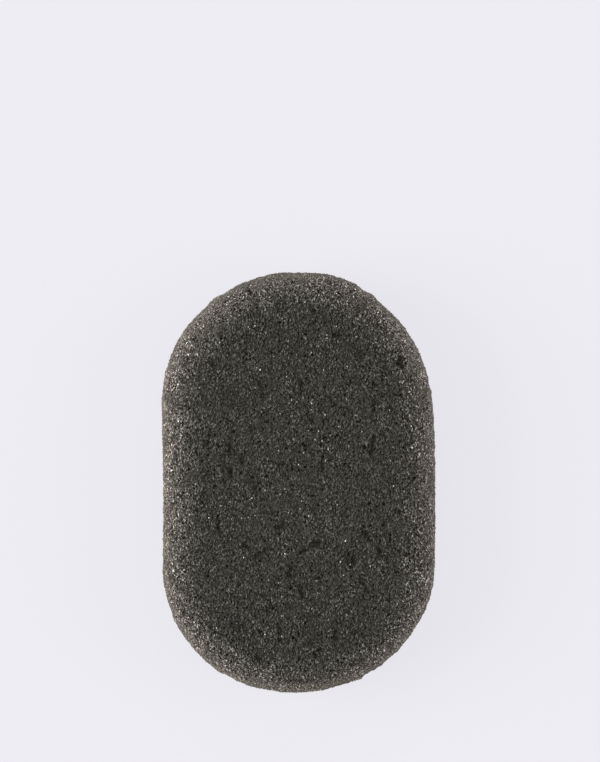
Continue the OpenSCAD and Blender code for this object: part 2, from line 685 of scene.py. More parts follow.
def band_faces(
    around: int, rows: int, box: MapBox, strips: int, face_out: bool
) -> tuple[np.ndarray, np.ndarray]:
    """Lists the faces of a closed band whose points run in rows from its upper edge down.

    Args:
        around: Number of faces round the band.
        rows: Number of faces from edge to edge.
        box: The band's place on the bake map, where it lies in strips.
        strips: Number of strips.
        face_out: Whether the faces look outwards, and not inwards.

    Returns:
        The faces' corners and the corners' places on the map.
    """
    row, column = np.divmod(np.arange(rows * around), around)
    steps_round, steps_down = np.array([0, 0, 1, 1]), np.array([0, 1, 1, 0])
    corners = (row[:, None] + steps_down) * around + (column[:, None] + steps_round) % around
    per_strip = -(-around // strips)
    strip = column // per_strip
    across = (column - strip * per_strip)[:, None] + steps_round
    share_down = box.gap_share + (1 - 2 * box.gap_share) * (row[:, None] + steps_down) / rows
    places = box.fit(across / per_strip, (strip[:, None] + share_down) / strips)
    if not face_out:
        return corners[:, ::-1], places[:, ::-1]
    return corners, places


def seam_faces(
    fine: np.ndarray, coarse: np.ndarray, box: MapBox, turned: bool
) -> tuple[np.ndarray, np.ndarray]:
    """Lists the faces of a seam's wall, between a finely and a coarsely divided edge.

    Args:
        fine: Points of the fine edge, anticlockwise seen from above.
        coarse: Points of the coarse edge, each beside the first of a run of fine ones.
        box: The wall's place on the bake map.
        turned: Whether the corners run the other way, so that the wall looks the other way.

    Returns:
        The faces' corners and the corners' places on the map.
    """
    per = len(fine) // len(coarse)
    start = np.arange(len(coarse))
    run = (start[:, None] * per + np.arange(per + 1)) % len(fine)
    ahead = (start + 1) % len(coarse)
    corners = np.concatenate([fine[run], coarse[ahead][:, None], coarse[start][:, None]], axis=1)
    across = np.concatenate([np.zeros(per + 1), np.ones(2)])
    along = np.concatenate([np.arange(per + 1) / per, [1.0, 0.0]])
    places = box.fit(np.tile(across, (len(coarse), 1)), (start[:, None] + along) / len(coarse))
    if turned:
        return corners[:, ::-1], places[:, ::-1]
    return corners, places


class TreeKind(Enum):
    """The kinds of node tree that can hold the foam's texture."""

    SHADER = "ShaderNodeTree"
    GEOMETRY = "GeometryNodeTree"


@dataclass
class Wiring:
    """A node tree while it is wired."""

    tree: bpy.types.NodeTree

    def feed(self, node: bpy.types.Node, inputs: dict[Any, Any]) -> None:
        """Gives a node what goes into it.

        Args:
            node: The node.
            inputs: Values or sockets for its inputs, by name or number.
        """
        for name, value in inputs.items():
            if isinstance(value, bpy.types.NodeSocket):
                self.tree.links.new(value, node.inputs[name])
            else:
                node.inputs[name].default_value = value

    def add(self, kind: str, inputs: dict[Any, Any] | None = None, **settings: Any) -> bpy.types.Node:
        """Adds a node.

        Args:
            kind: Blender's name of the node.
            inputs: Values or sockets for its inputs, by name or number.
            settings: The node's own settings.

        Returns:
            The node.
        """
        node = self.tree.nodes.new(kind)
        for name, value in settings.items():
            setattr(node, name, value)
        self.feed(node, inputs or {})
        return node

    def group(self, tree: bpy.types.NodeTree, inputs: dict[str, Any]) -> bpy.types.Node:
        """Adds a node group to a tree of its own kind."""
        return self.add(tree.bl_idname.replace("NodeTree", "NodeGroup"), inputs, node_tree=tree)

    def math(self, operation: str, *values: Any) -> bpy.types.NodeSocket:
        """Returns the result of a calculation with numbers."""
        return self.add("ShaderNodeMath", dict(enumerate(values)), operation=operation).outputs[0]

    def total(self, first: Any, *others: Any) -> Any:
        """Adds up several numbers.

        Args:
            first: The first number or socket.
            others: Those that are added to it, in order.

        Returns:
            Their sum.
        """
        for other in others:
            first = self.math("ADD", first, other)
        return first

    def vector(self, operation: str, *values: Any) -> bpy.types.NodeSocket:
        """Returns the result of a calculation with vectors."""
        return self.add("ShaderNodeVectorMath", dict(enumerate(values)), operation=operation).outputs[0]

    def scaled(self, vector: Any, by: Any) -> bpy.types.NodeSocket:
        """Returns a vector times a number."""
        return self.add("ShaderNodeVectorMath", {0: vector, "Scale": by}, operation="SCALE").outputs[0]

    def split(self, colour: bpy.types.NodeSocket) -> Any:
        """Returns the three parts of a colour or a vector."""
        return self.add("ShaderNodeSeparateXYZ", {0: colour}).outputs

    def mapped(
        self, value: Any, start: float, end: float, high: float = 1.0, smooth: bool = True
    ) -> bpy.types.NodeSocket:
        """Carries a value from one range to another, and holds it there.

        Args:
            value: The value.
            start: Where the result is 0.
            end: Where the result is highest.
            high: The highest result.
            smooth: Whether it leaves and arrives softly, and not along a straight line.

        Returns:
            The result.
        """
        ranges = {0: value, 1: start, 2: end, 3: 0.0, 4: high}
        course = "SMOOTHSTEP" if smooth else "LINEAR"
        return self.add("ShaderNodeMapRange", ranges, interpolation_type=course).outputs[0]


def open_group(
    name: str, kind: TreeKind, inputs: dict[str, str], outputs: dict[str, str]
) -> tuple[Wiring, bpy.types.Node, bpy.types.Node]:
    """Starts a node group with named sockets.

    Args:
        name: Name of the group.
        kind: Kind of its tree.
        inputs: Kind of each input socket, by name.
        outputs: Kind of each output socket, by name.

    Returns:
        The group's wiring, and its input and output nodes.
    """
    tree = bpy.data.node_groups.new(name, kind.value)
    for direction, sockets in (("INPUT", inputs), ("OUTPUT", outputs)):
        for label, socket in sockets.items():
            tree.interface.new_socket(label, in_out=direction, socket_type=socket)
    wiring = Wiring(tree)
    return wiring, wiring.add("NodeGroupInput"), wiring.add("NodeGroupOutput")


@dataclass
class CellTexture:
    """The foam's own cells, a little longer along the sponge: grain, hollows and pinholes, which the finish
    darkens with painted shade, and painted glints.
    """

    stretch: tuple[float, float, float] = (1.4, 0.8, 1.2)
    warp: float = 0.7
    warp_scale: float = 0.7
    warp_detail: float = 1.0
    small_scale: float = 2.0
    small_share: float = 0.68
    tone_share: float = 0.9
    usual_distance: float = 0.53
    usual_spread: float = 0.17
    tone_mean: float = 0.5
    tone_spread: float = 0.29
    # Open cells and pinholes: sunk in the mesh, and darkened in the finish with painted shade
    open_share: float = 0.06
    open_reach: float = 0.6
    open_full: float = 0.3
    pin_scale: float = 0.36
    pin_share: float = 0.18
    pin_reach: float = 0.26
    pin_full: float = 0.19
    # Painted glints: a few cells get a small bright spot in the base colour, standing in for the gleam of wet
    # cell walls
    bright_share: float = 0.04
    bright_reach: float = 0.45
    bright_full: float = 0.15

    def group(self, kind: TreeKind) -> bpy.types.NodeTree:
        """Builds the texture as a node group.

        Args:
            kind: Kind of tree that will hold it.

        Returns:
            The group. Its Height has a mean of about 0 and a spread of about 1.
        """
        wiring, start, end = open_group(
            f"foam_cells_{kind.name.lower()}",
            kind,
            {"Position": "NodeSocketVector", "Cell Size": "NodeSocketFloat"},
            {name: "NodeSocketFloat" for name in ("Height", "Open", "Bright")},
        )
        per_metre = wiring.math("DIVIDE", 1.0, start.outputs["Cell Size"])
        even = wiring.scaled(start.outputs["Position"], per_metre)
        grid = wiring.vector("MULTIPLY", even, self.stretch)
        waves = {"Vector": grid, "Scale": self.warp_scale, "Detail": self.warp_detail}
        noise = wiring.add("ShaderNodeTexNoise", waves)
        sway = wiring.vector("SUBTRACT", noise.outputs["Color"], (NOISE_MEAN,) * 3)
        grid = wiring.vector("ADD", grid, wiring.scaled(sway, self.warp))
        large, small, wide = (
            wiring.add("ShaderNodeTexVoronoi", {"Vector": place, "Scale": scale}).outputs
            for place, scale in ((grid, 1.0), (grid, self.small_scale), (even, self.pin_scale))
        )
        picks, tones, draws = (wiring.split(cells["Color"]) for cells in (large, small, wide))
        shares = (1 - self.small_share, self.small_share, self.tone_share)
        parts = []
        for source, usual, spread, share in (
            (large["Distance"], self.usual_distance, self.usual_spread, shares[0]),
            (small["Distance"], self.usual_distance, self.usual_spread, shares[1]),
            (tones[1], self.tone_mean, self.tone_spread, shares[2]),
        ):
            gain = share / spread / math.hypot(*shares)
            parts.append(wiring.math("MULTIPLY_ADD", source, gain, -usual * gain))
        hollow = wiring.mapped(large["Distance"], self.open_reach, self.open_full)
        # Painted glint: a small bright spot at the middle of a chosen cell
        glint_spot = wiring.mapped(large["Distance"], self.bright_reach, self.bright_full)
        pin = wiring.mapped(wide["Distance"], self.pin_reach, self.pin_full)
        pin = wiring.math("MULTIPLY", pin, wiring.math("LESS_THAN", draws[0], self.pin_share))
        is_open = wiring.math("LESS_THAN", picks[0], self.open_share)
        is_glint = wiring.math("GREATER_THAN", picks[0], 1 - self.bright_share)
        made = {
            "Height": wiring.total(*parts),
            "Open": wiring.math("MAXIMUM", wiring.math("MULTIPLY", hollow, is_open), pin),
            "Bright": wiring.math("MULTIPLY", glint_spot, is_glint),
        }
        wiring.feed(end, made)
        return wiring.tree


@dataclass
class MottleTexture:
    """Soft unevenness over several millimetres, in height as in colour."""

    usual_spread: float = 0.13
    detail: float = 3.0
    fade: float = 0.6

    def group(self, kind: TreeKind) -> bpy.types.NodeTree:
        """Builds the texture as a node group.

        Args:
            kind: Kind of tree that will hold it.

        Returns:
            The group. Its Value has a mean of about 0 and a spread of about 1.
        """
        wiring, start, end = open_group(
            f"foam_mottle_{kind.name.lower()}",
            kind,
            {"Position": "NodeSocketVector", "Patch Size": "NodeSocketFloat"},
            {"Value": "NodeSocketFloat", "Tint": "NodeSocketVector"},
        )
        per_metre = wiring.math("DIVIDE", 1.0, start.outputs["Patch Size"])
        waves = {"Vector": start.outputs["Position"], "Scale": per_metre}
        waves.update({"Detail": self.detail, "Roughness": self.fade})
        noise = wiring.add("ShaderNodeTexNoise", waves)
        even = wiring.math("SUBTRACT", noise.outputs[0], NOISE_MEAN)
        lean = wiring.vector("SUBTRACT", noise.outputs["Color"], (NOISE_MEAN,) * 3)
        value = wiring.math("DIVIDE", even, self.usual_spread)
        wiring.feed(end, {"Value": value, "Tint": wiring.scaled(lean, 1 / self.usual_spread)})
        return wiring.tree


@dataclass
class ToneMixer:
    """Turns the foam's cells, mottle, pits and turned edges into a colour and a roughness. Pits, creases and
    open pores get painted shade, a few cells get painted glints, and the turned edges get painted light.

    All that makes it lighter or darker is added up first, and the colour is scaled by its exponential.
    The grain is strongest halfway round an edge, where turn times 1 - turn is most, a quarter: painted light
    and shade, as the low side lamps would rake the cells there. The turned edges are also painted lighter and
    warmer: painted light from the side lamps.
    """

    # How bright the painted glints are, and how dark the painted shade in open pores and in pits is
    bright_gain: float = 2.9
    open_loss: float = 3.5
    pit_loss: float = 2.0
    # Painted light: from turn_from to turn_full the turned edges are painted lighter and warmer, as the low
    # side lamps would light them. The raised grain contrast there is painted light and shade too.
    turn_from: float = 0.07
    turn_full: float = 0.76
    edge_contrast: float = 0.6
    edge_most: float = 0.25
    patch_contrast: float = 0.26
    # How fast the painted glints fade up the side wall
    edge_calm: float = 0.85
    turn_warmth: tuple[float, float, float] = (0.115, 0.0, -0.028)
    # Cooler tint on pale cell walls and on the painted glints
    fleck_tint: tuple[float, float, float] = (-0.025, 0.0, 0.05)
    even_tint: tuple[float, float, float] = (1.0, 1.0, 1.0)
    dull: float = 0.95
    wall_full: float = 2.0
    wall_gloss: float = 0.15
    bright_gloss: float = 0.45

    def group(self) -> bpy.types.NodeTree:
        """Builds the mixer as a shader node group.

        Returns:
            The group. It takes in a Height, Mottle and Tint with a mean of 0 and a spread of 1.
        """
        numbers = (
            "Height", "Open", "Bright", "Mottle", "Pit", "Turn",
            "Contrast", "Mottle Share", "Turn Gain", "Tint Share",
        )
        sockets = {"Ground": "NodeSocketColor", "Tint": "NodeSocketVector"}
        sockets.update({name: "NodeSocketFloat" for name in numbers})
        outputs = {"Color": "NodeSocketColor", "Roughness": "NodeSocketFloat"}
        wiring, start, end = open_group("foam_tone", TreeKind.SHADER, sockets, outputs)
        given = start.outputs
        # Painted light: the ramp over the turned edges that paints them lighter and warmer
        turn = wiring.mapped(given["Turn"], self.turn_from, self.turn_full, smooth=False)
        edge = wiring.math("MULTIPLY", given["Turn"], wiring.math("SUBTRACT", 1.0, given["Turn"]))
        lively = wiring.math("MULTIPLY_ADD", given["Mottle"], self.patch_contrast, 1.0)
        contrast = wiring.math("MULTIPLY_ADD", edge, self.edge_contrast / self.edge_most, lively)
        contrast = wiring.math("MULTIPLY", wiring.math("MAXIMUM", contrast, 0.0), given["Contrast"])
        # Painted glints, fewer towards the upright wall
        calmed = wiring.math("MULTIPLY_ADD", given["Turn"], -self.edge_calm, lively)
        painted_glint = wiring.math("MULTIPLY", given["Bright"], wiring.math("MAXIMUM", calmed, 0.0))
        grain = wiring.math("MULTIPLY", given["Height"], contrast)
        # Summed in the exponent: mottle, painted rim light, painted shade in pits and open pores, and painted
        # glints
        parts = (
            wiring.math("MULTIPLY", given["Mottle"], given["Mottle Share"]),
            wiring.math("MULTIPLY", turn, given["Turn Gain"]),
            wiring.math("MULTIPLY", given["Pit"], -self.pit_loss),
            wiring.math("MULTIPLY", given["Open"], -self.open_loss),
            wiring.math("MULTIPLY", painted_glint, self.bright_gain),
        )
        # Pale cell walls and painted glints are tinted cooler
        pale = wiring.math("MAXIMUM", wiring.math("ADD", grain, parts[-1]), 0.0)
        strength = wiring.math("EXPONENT", wiring.total(grain, *parts))
        lean = wiring.scaled(given["Tint"], wiring.math("MULTIPLY", given["Tint Share"], turn))
        warm = wiring.vector("ADD", self.even_tint, wiring.scaled(self.turn_warmth, turn))
        tint = wiring.vector("ADD", lean, warm)
        tint = wiring.vector("ADD", tint, wiring.scaled(self.fleck_tint, pale))
        colour = wiring.scaled(wiring.vector("MULTIPLY", given["Ground"], tint), strength)
        gloss = wiring.mapped(given["Height"], 0.0, self.wall_full, self.wall_gloss)
        # The painted glints are glossier as well
        gloss = wiring.math("MULTIPLY_ADD", given["Bright"], self.bright_gloss, gloss)
        wiring.feed(end, {"Color": colour, "Roughness": wiring.math("SUBTRACT", self.dull, gloss)})
        return wiring.tree


# The foam's node groups of one kind of tree, by name.
Groups = dict[str, bpy.types.NodeTree]


@dataclass(frozen=True)
class FoamFinish:
    """The finish of one zone of the foam."""

    name: str
    ground: tuple[float, float, float] = (0.0329, 0.0315, 0.0260)
    cell_size: float = SKIN_CELL
    contrast: float = 0.77
    patch_size: float = 5.0 * MM
    mottle_share: float = -0.03
    # Painted light: how much lighter the turned edges are painted
    turn_gain: float = 0.8
    tint_share: float = 0.026
    sheen: float = 0.35
    sheen_roughness: float = 0.5
    sheen_tint: tuple[float, float, float, float] = (0.62, 0.58, 0.52, 1.0)
    shine: float = 0.04
    bump_depth: float = 0.06 * MM
    bump_strength: float = 0.8

    def material(self, groups: Groups) -> bpy.types.Material:
        """Makes the finish's material.

        Args:
            groups: The foam's shader node groups.

        Returns:
            The material.
        """
        made = bpy.data.materials.new(self.name)
        made.use_nodes = True
        wiring = Wiring(made.node_tree)
        rest, pit, turn = (
            wiring.add("ShaderNodeAttribute", attribute_name=name).outputs[kind]
            for name, kind in (("rest", "Vector"), ("pit", "Fac"), ("turn", "Fac"))
        )
        cells = wiring.group(groups["cells"], {"Position": rest, "Cell Size": self.cell_size}).outputs
        mottle = wiring.group(groups["mottle"], {"Position": rest, "Patch Size": self.patch_size}).outputs
        # The tone reads the cells, the mottle, the painted pit shade, and the turned edges, which get painted
        # light
        read = {
            "Ground": (*self.ground, 1.0),
            "Tint": mottle["Tint"],
            "Height": cells["Height"],
            "Open": cells["Open"],
            "Bright": cells["Bright"],
            "Mottle": mottle["Value"],
            "Pit": pit,
            "Turn": turn,
            "Contrast": self.contrast,
            "Mottle Share": self.mottle_share,
            "Turn Gain": self.turn_gain,
            "Tint Share": self.tint_share,
        }
        tone = wiring.group(groups["tone"], read).outputs
        grain = {"Height": cells["Height"], "Distance": self.bump_depth, "Strength": self.bump_strength}
        look = {
            "Base Color": tone["Color"],
            "Roughness": tone["Roughness"],
            "Normal": wiring.add("ShaderNodeBump", grain).outputs["Normal"],
            "Specular IOR Level": self.shine,
            "Sheen Weight": self.sheen,
            "Sheen Roughness": self.sheen_roughness,
            "Sheen Tint": self.sheen_tint,
        }
        wiring.feed(made.node_tree.nodes["Principled BSDF"], look)
        return made


@dataclass(frozen=True)
class CellRelief:
    """Raises the foam's cells and lumps in the mesh itself, around its true form.

    All of it is let down by the settling, and no cell sinks below the deepest.
    """

    settling: float = 0.1 * MM
    cell_size: float = SKIN_CELL
    cell_depth: float = 0.13 * MM
    open_depth: float = 0.35 * MM
    lump_size: float = 3.0 * MM
    lump_height: float = 0.15 * MM
    deepest: float = 0.6 * MM
    only_inwards: bool = False

    def carve(self, piece: bpy.types.Object, groups: Groups) -> None:
        """Moves a piece's points along their ways out, and keeps the result as its mesh.

        Args:
            piece: The piece.
            groups: The foam's geometry node groups.
        """
        geometry = {"Geometry": "NodeSocketGeometry"}
        wiring, start, end = open_group(f"{piece.name}_relief", TreeKind.GEOMETRY, geometry, geometry)
        rest = self.named(wiring, "rest", "FLOAT_VECTOR")
        cells = wiring.group(groups["cells"], {"Position": rest, "Cell Size": self.cell_size})
        lumps = wiring.group(groups["mottle"], {"Position": rest, "Patch Size": self.lump_size})
        raised = wiring.math("MULTIPLY", cells.outputs["Height"], self.cell_depth)
        swollen = wiring.math("MULTIPLY", lumps.outputs["Value"], self.lump_height)
        height = wiring.math("ADD", raised, swollen)
        height = wiring.math("MULTIPLY_ADD", cells.outputs["Open"], -self.open_depth, height)
        height = wiring.math("SUBTRACT", height, self.settling)
        height = wiring.math("MAXIMUM", height, -self.deepest)
        if self.only_inwards:
            height = wiring.math("MINIMUM", height, 0.0)
        height = wiring.math("MULTIPLY", height, self.named(wiring, "skin", "FLOAT"))
        offset = wiring.scaled(self.named(wiring, "out", "FLOAT_VECTOR"), height)
        shift = {"Geometry": start.outputs["Geometry"], "Offset": offset}
        wiring.feed(end, {"Geometry": wiring.add("GeometryNodeSetPosition", shift).outputs["Geometry"]})
        modifier = piece.modifiers.new("relief", "NODES")
        modifier.node_group = wiring.tree
        graph = bpy.context.evaluated_depsgraph_get()
        carved = bpy.data.meshes.new_from_object(
            piece.evaluated_get(graph), preserve_all_data_layers=True, depsgraph=graph
        )
        piece.modifiers.clear()
        plain = piece.data
        piece.data = carved
        bpy.data.meshes.remove(plain)
        carved.name = piece.name

    @staticmethod
    def named(wiring: Wiring, name: str, kind: str) -> bpy.types.NodeSocket:
        """Returns a named attribute of the mesh."""
        node = wiring.add("GeometryNodeInputNamedAttribute", {"Name": name}, data_type=kind)
        return node.outputs["Attribute"]


@dataclass
class Form:
    """The sponge's form: its outline, its section, the skin's thickness and how finely it is divided.

    The insides of the skins are divided more coarsely, by a whole number of times.
    """

    outline: Outline
    section: Section
    relief: Relief
    skin_t: float = 1.5 * MM
    grid: Grid = Grid(224, 184)
    rim_rows: int = 128
    coarser: int = 4

    def surface(
        self, at: Stations, line: SectionLine, below: bool = False, skin: float = 1.0
    ) -> SurfacePoints:
        """Lays points on the swept surface, which is pressed flat where the sponge rests.

        Args:
            at: The points' stations.
            line: A point of the section for each station.
            below: Whether the line is turned over to the back.
            skin: 1 on an outer skin, which takes the relief, or 0 inside.

        Returns:
            The points.
        """
        if below:
            line = SectionLine(line.reach, 2 * self.section.mid_z - line.height, line.out_level, -line.out_up)
        place, out = self.outline.sweep(at, line)
        left_of_skin = 1 - np.maximum(-place[:, 2], 0.0) / self.skin_t
        place[:, 2] = np.maximum(place[:, 2], 0.0)
        turn = np.arccos(np.clip(np.abs(out[:, 2]), 0.0, 1.0)) / (math.pi / 2)
        return SurfacePoints(place, out, place.copy(), skin * left_of_skin, turn, np.zeros(len(place)))

    def cap(
        self, grid: Grid, depth: float = 0.0, below: bool = False, skin: float = 1.0
    ) -> tuple[Stations, SurfacePoints]:
        """Returns the stations and points of a grid on the face, or below on the back, out to the seam."""
        at = self.outline.stations(grid)
        return at, self.surface(at, self.section.crown(at.share, depth), below, skin)

    def band(
        self, grid: Grid, rows: int, depth: float = 0.0, skin: float = 1.0
    ) -> tuple[Stations, SurfacePoints]:
        """Lays rows of points round the rim, from the upper seam to the lower.

        Args:
            grid: The face's grid, whose edge each row follows.
            rows: Number of steps from seam to seam.
            depth: Depth below the surface.
            skin: 1 where the relief reaches, or 0 inside a skin.

        Returns:
            The stations and the points.
        """
        at = self.outline.stations(grid).pick(np.tile(grid.edge(), rows + 1))
        line = self.section.rim(rows, depth).pick(np.repeat(np.arange(rows + 1), grid.around))
        return at, self.surface(at, line, False, skin)

    def hollows(self, pores: Pores) -> list[Hollow]:
        """Finds where the dents and pores lie on the surface, for every piece alike.

        Args:
            pores: How the pores are scattered.

        Returns:
            The dents, where the photograph has them, and then the pores.
        """
        face, back = (self.cap(self.grid, below=below)[1] for below in (False, True))
        _, rim = self.band(self.grid, self.rim_rows)
        cloud = np.concatenate([face.place, rim.place, back.place])
        seen = cloud[cloud[:, 2] > self.section.mid_z]

        def on_face(spot: tuple[float, float]) -> np.ndarray:
            """Returns the point of the face that is seen at a pixel."""
            return seen[np.argmin(np.linalg.norm(seen[:, :2] - PHOTO.place(spot), axis=-1))]

        dents = [
            Hollow(on_face(dent.start_px), on_face(dent.end_px), dent.reach * MM, dent.depth * MM, dent.shade)
            for dent in FACE_DENTS.values()
        ]
        return dents + pores.scatter(cloud)


def set_out(name: str, data: bpy.types.ID) -> bpy.types.Object:
    """Sets an object out in the scene.

    Args:
        name: Name of the object.
        data: What it shows, such as a mesh or a lamp.

    Returns:
        The object.
    """
    made = bpy.data.objects.new(name, data)
    bpy.context.scene.collection.objects.link(made)
    return made


def store(mesh: bpy.types.Mesh, points: SurfacePoints) -> None:
    """Keeps on a mesh what its relief and its finish read.

    Args:
        mesh: The mesh.
        points: Its points.
    """
    for name in ("rest", "out"):
        held = mesh.attributes.new(name, "FLOAT_VECTOR", "POINT")
        held.data.foreach_set("vector", getattr(points, name).astype(np.float32).ravel())
    for name in ("skin", "turn", "pit"):
        held = mesh.attributes.new(name, "FLOAT", "POINT")
        held.data.foreach_set("value", getattr(points, name).astype(np.float32))


def sharpen(mesh: bpy.types.Mesh, rings: list[np.ndarray]) -> None:
    """Marks the edges of a seam as sharp, so that its wall doesn't shade the skin.

    Args:
        mesh: The mesh.
        rings: The points of each ring of edges, in order.
    """
    mesh.shade_smooth()
    ends = np.zeros(len(mesh.edges) * 2, np.int32)
    mesh.edges.foreach_get("vertices", ends)
    ends = ends.reshape(-1, 2)
    sharp = np.zeros(len(mesh.edges), bool)
    for ring in rings:
        rank = np.full(len(mesh.vertices), -1)
        rank[ring] = np.arange(len(ring))
        step = np.abs(rank[ends[:, 0]] - rank[ends[:, 1]])
        on_ring = (rank[ends] >= 0).all(axis=1)
        sharp |= on_ring & ((step == 1) | (step == len(ring) - 1))
    held = mesh.attributes.get("sharp_edge") or mesh.attributes.new("sharp_edge", "BOOLEAN", "EDGE")
    held.data.foreach_set("value", sharp)


@dataclass
class FoamPiece:
    """One zone of the casting."""

    name: str
    node: str
    slot: str
    form: Form
    finish: FoamFinish
    carving: CellRelief

    def raise_mesh(
        self, patches: Patchwork, points: SurfacePoints, rings: list[np.ndarray], groups: Groups
    ) -> bpy.types.Object:
        """Turns faces and points into the finished mesh of the piece.

        Args:
            patches: The faces.
            points: The points, with their larger relief.
            rings: The rings of edges to keep sharp.
            groups: The foam's geometry node groups.

        Returns:
            The piece.
        """
        mesh = patches.mesh(self.name, points.place)
        store(mesh, points)
        sharpen(mesh, rings)
        piece = set_out(self.name, mesh)
        self.carving.carve(piece, groups)
        lay_flat(piece.data)
        for spent in ("skin", "out"):
            piece.data.attributes.remove(piece.data.attributes[spent])
        return piece

    def dress(self, piece: bpy.types.Object, groups: Groups) -> None:
        """Gives the piece its finish and its place in the frame.

        Args:
            piece: The piece.
            groups: The foam's shader node groups.
        """
        piece.data.materials.clear()
        piece.data.materials.append(self.finish.material(groups))
        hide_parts(self.node)
        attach(piece, "root")


def lay_flat(mesh: bpy.types.Mesh) -> None:
    """Presses what would lie below the resting plane up to it.

    Args:
        mesh: The mesh.
    """
    co = np.zeros(len(mesh.vertices) * 3, np.float32)
    mesh.vertices.foreach_get("co", co)
    co[2::3] = np.maximum(co[2::3], 0.0)
    mesh.vertices.foreach_set("co", co)
    mesh.update()


@dataclass
class FlatSkin(FoamPiece):
    """The skin of the face or of the back, out to where the rounding begins."""

    below: bool = False
    outer_box: MapBox = MapBox(0.01, 0.01, 0.56, 0.98)
    inner_box: MapBox = MapBox(0.6, 0.01, 0.22, 0.38)
    seam_box: MapBox = MapBox(0.6, 0.42, 0.02, 0.56)

    def build(self, hollows: list[Hollow], groups: Groups) -> bpy.types.Object:
        """Builds the skin.

        Args:
            hollows: The dents and pores.
            groups: The foam's geometry node groups.

        Returns:
            The piece.
        """
        form, grid = self.form, self.form.grid
        few = grid.coarser(form.coarser)
        at, outer = form.cap(grid, below=self.below)
        form.relief.apply(outer, at, hollows)
        under, inner = form.cap(few, form.skin_t, self.below, 0.0)
        form.relief.drift(inner, under)
        fine, coarse = grid.edge(), few.edge() + len(outer.place)
        patches = Patchwork()
        patches.add(*grid_faces(grid, self.outer_box, not self.below))
        patches.add(*grid_faces(few, self.inner_box, self.below), len(outer.place))
        patches.add(*seam_faces(fine, coarse, self.seam_box, not self.below))
        return self.raise_mesh(patches, outer.joined(inner), [fine], groups)


@dataclass
class RimSkin(FoamPiece):
    """The skin of the rounded edges and the side wall, one closed band."""

    strips: int = 3
    outer_box: MapBox = MapBox(0.005, 0.005, 0.99, 0.9)
    inner_box: MapBox = MapBox(0.005, 0.91, 0.99, 0.05)
    upper_box: MapBox = MapBox(0.005, 0.965, 0.01, 0.03)
    lower_box: MapBox = MapBox(0.025, 0.965, 0.01, 0.03)

    def build(self, hollows: list[Hollow], groups: Groups) -> bpy.types.Object:
        """Builds the skin.

        Args:
            hollows: The dents and pores.
            groups: The foam's geometry node groups.

        Returns:
            The piece.
        """
        form, grid, rows = self.form, self.form.grid, self.form.rim_rows
        few, few_rows = grid.coarser(form.coarser), rows // form.coarser
        at, outer = form.band(grid, rows)
        form.relief.apply(outer, at, hollows)
        under, inner = form.band(few, few_rows, form.skin_t, 0.0)
        form.relief.drift(inner, under)
        upper, few_upper = np.arange(grid.around), np.arange(few.around) + len(outer.place)
        lower, few_lower = upper + rows * grid.around, few_upper + few_rows * few.around
        patches = Patchwork()
        patches.add(*band_faces(grid.around, rows, self.outer_box, self.strips, True))
        patches.add(*band_faces(few.around, few_rows, self.inner_box, 1, False), len(outer.place))
        patches.add(*seam_faces(upper, few_upper, self.upper_box, False))
        patches.add(*seam_faces(lower, few_lower, self.lower_box, True))
        return self.raise_mesh(patches, outer.joined(inner), [upper, lower], groups)


@dataclass
class Core(FoamPiece):
    """The coarse inside of the casting, closed in by the skins."""

    grid: Grid = Grid(128, 104)
    rows: int = 80
    strips: int = 4
    top_box: MapBox = MapBox(0.01, 0.01, 0.28, 0.48)
    bottom_box: MapBox = MapBox(0.01, 0.51, 0.28, 0.48)
    band_box: MapBox = MapBox(0.31, 0.01, 0.68, 0.98)

    def build(self, hollows: list[Hollow], groups: Groups) -> bpy.types.Object:
        """Builds the core as one closed mesh of two caps and a band.

        Args:
            hollows: The dents and pores, which don't reach this deep and aren't used.
            groups: The foam's geometry node groups.

        Returns:
            The piece.
        """
        form, grid, depth = self.form, self.grid, self.form.skin_t
        zones = (form.cap(grid, depth), form.cap(grid, depth, True), form.band(grid, self.rows, depth))
        for at, zone in zones:
            form.relief.drift(zone, at)
        top, bottom, band = (zone for _, zone in zones)
        middle = band.pick(slice(grid.around, self.rows * grid.around))
        below_start = len(top.place)
        band_start = below_start + len(bottom.place)
        ring = grid.edge()
        lookup = np.concatenate([ring, np.arange(len(middle.place)) + band_start, ring + below_start])
        patches = Patchwork()
        patches.add(*grid_faces(grid, self.top_box, True))
        patches.add(*grid_faces(grid, self.bottom_box, False), below_start)
        corners, places = band_faces(grid.around, self.rows, self.band_box, self.strips, True)
        patches.add(lookup[corners], places)
        return self.raise_mesh(patches, top.joined(bottom, middle), [], groups)


@dataclass(frozen=True)
class SoftBox:
    """A square lamp that faces the sponge from a distance.

    The azimuth is in degrees, 0 along +X and 90 along +Y, and the elevation in degrees above the
    floor. The level is the brightness that the lamp alone gives a white surface that faces it, where
    1 is white.
    """

    name: str
    azimuth: float
    level: float
    elevation: float = 35.0
    size: float = 2.0
    distance: float = 3.0

    def hang(self, middle: Vector) -> None:
        """Hangs the lamp where it faces the sponge.

        Args:
            middle: The middle of the sponge.
        """
        light = bpy.data.lights.new(self.name, "AREA")
        light.shape = "SQUARE"
        light.size = self.size
        light.energy = self.level * math.pi**2 * self.distance**2
        turn, rise = math.radians(self.azimuth), math.radians(self.elevation)
        way = Vector((math.cos(rise) * math.cos(turn), math.cos(rise) * math.sin(turn), math.sin(rise)))
        made = set_out(self.name, light)
        made.location = way * self.distance + middle
        made.rotation_mode = "QUATERNION"
        made.rotation_quaternion = way.to_track_quat("Z", "Y")
        made.visible_camera = False


SOFT_BOXES = (
    SoftBox("overhead_box", 90.0, 0.03, elevation=90.0, size=2.4),
    SoftBox("left_box", 180.0, 1.0),
    SoftBox("right_box", 0.0, 0.42),
    SoftBox("head_box", 90.0, 0.11),
    SoftBox("foot_box", 270.0, 0.01),
)


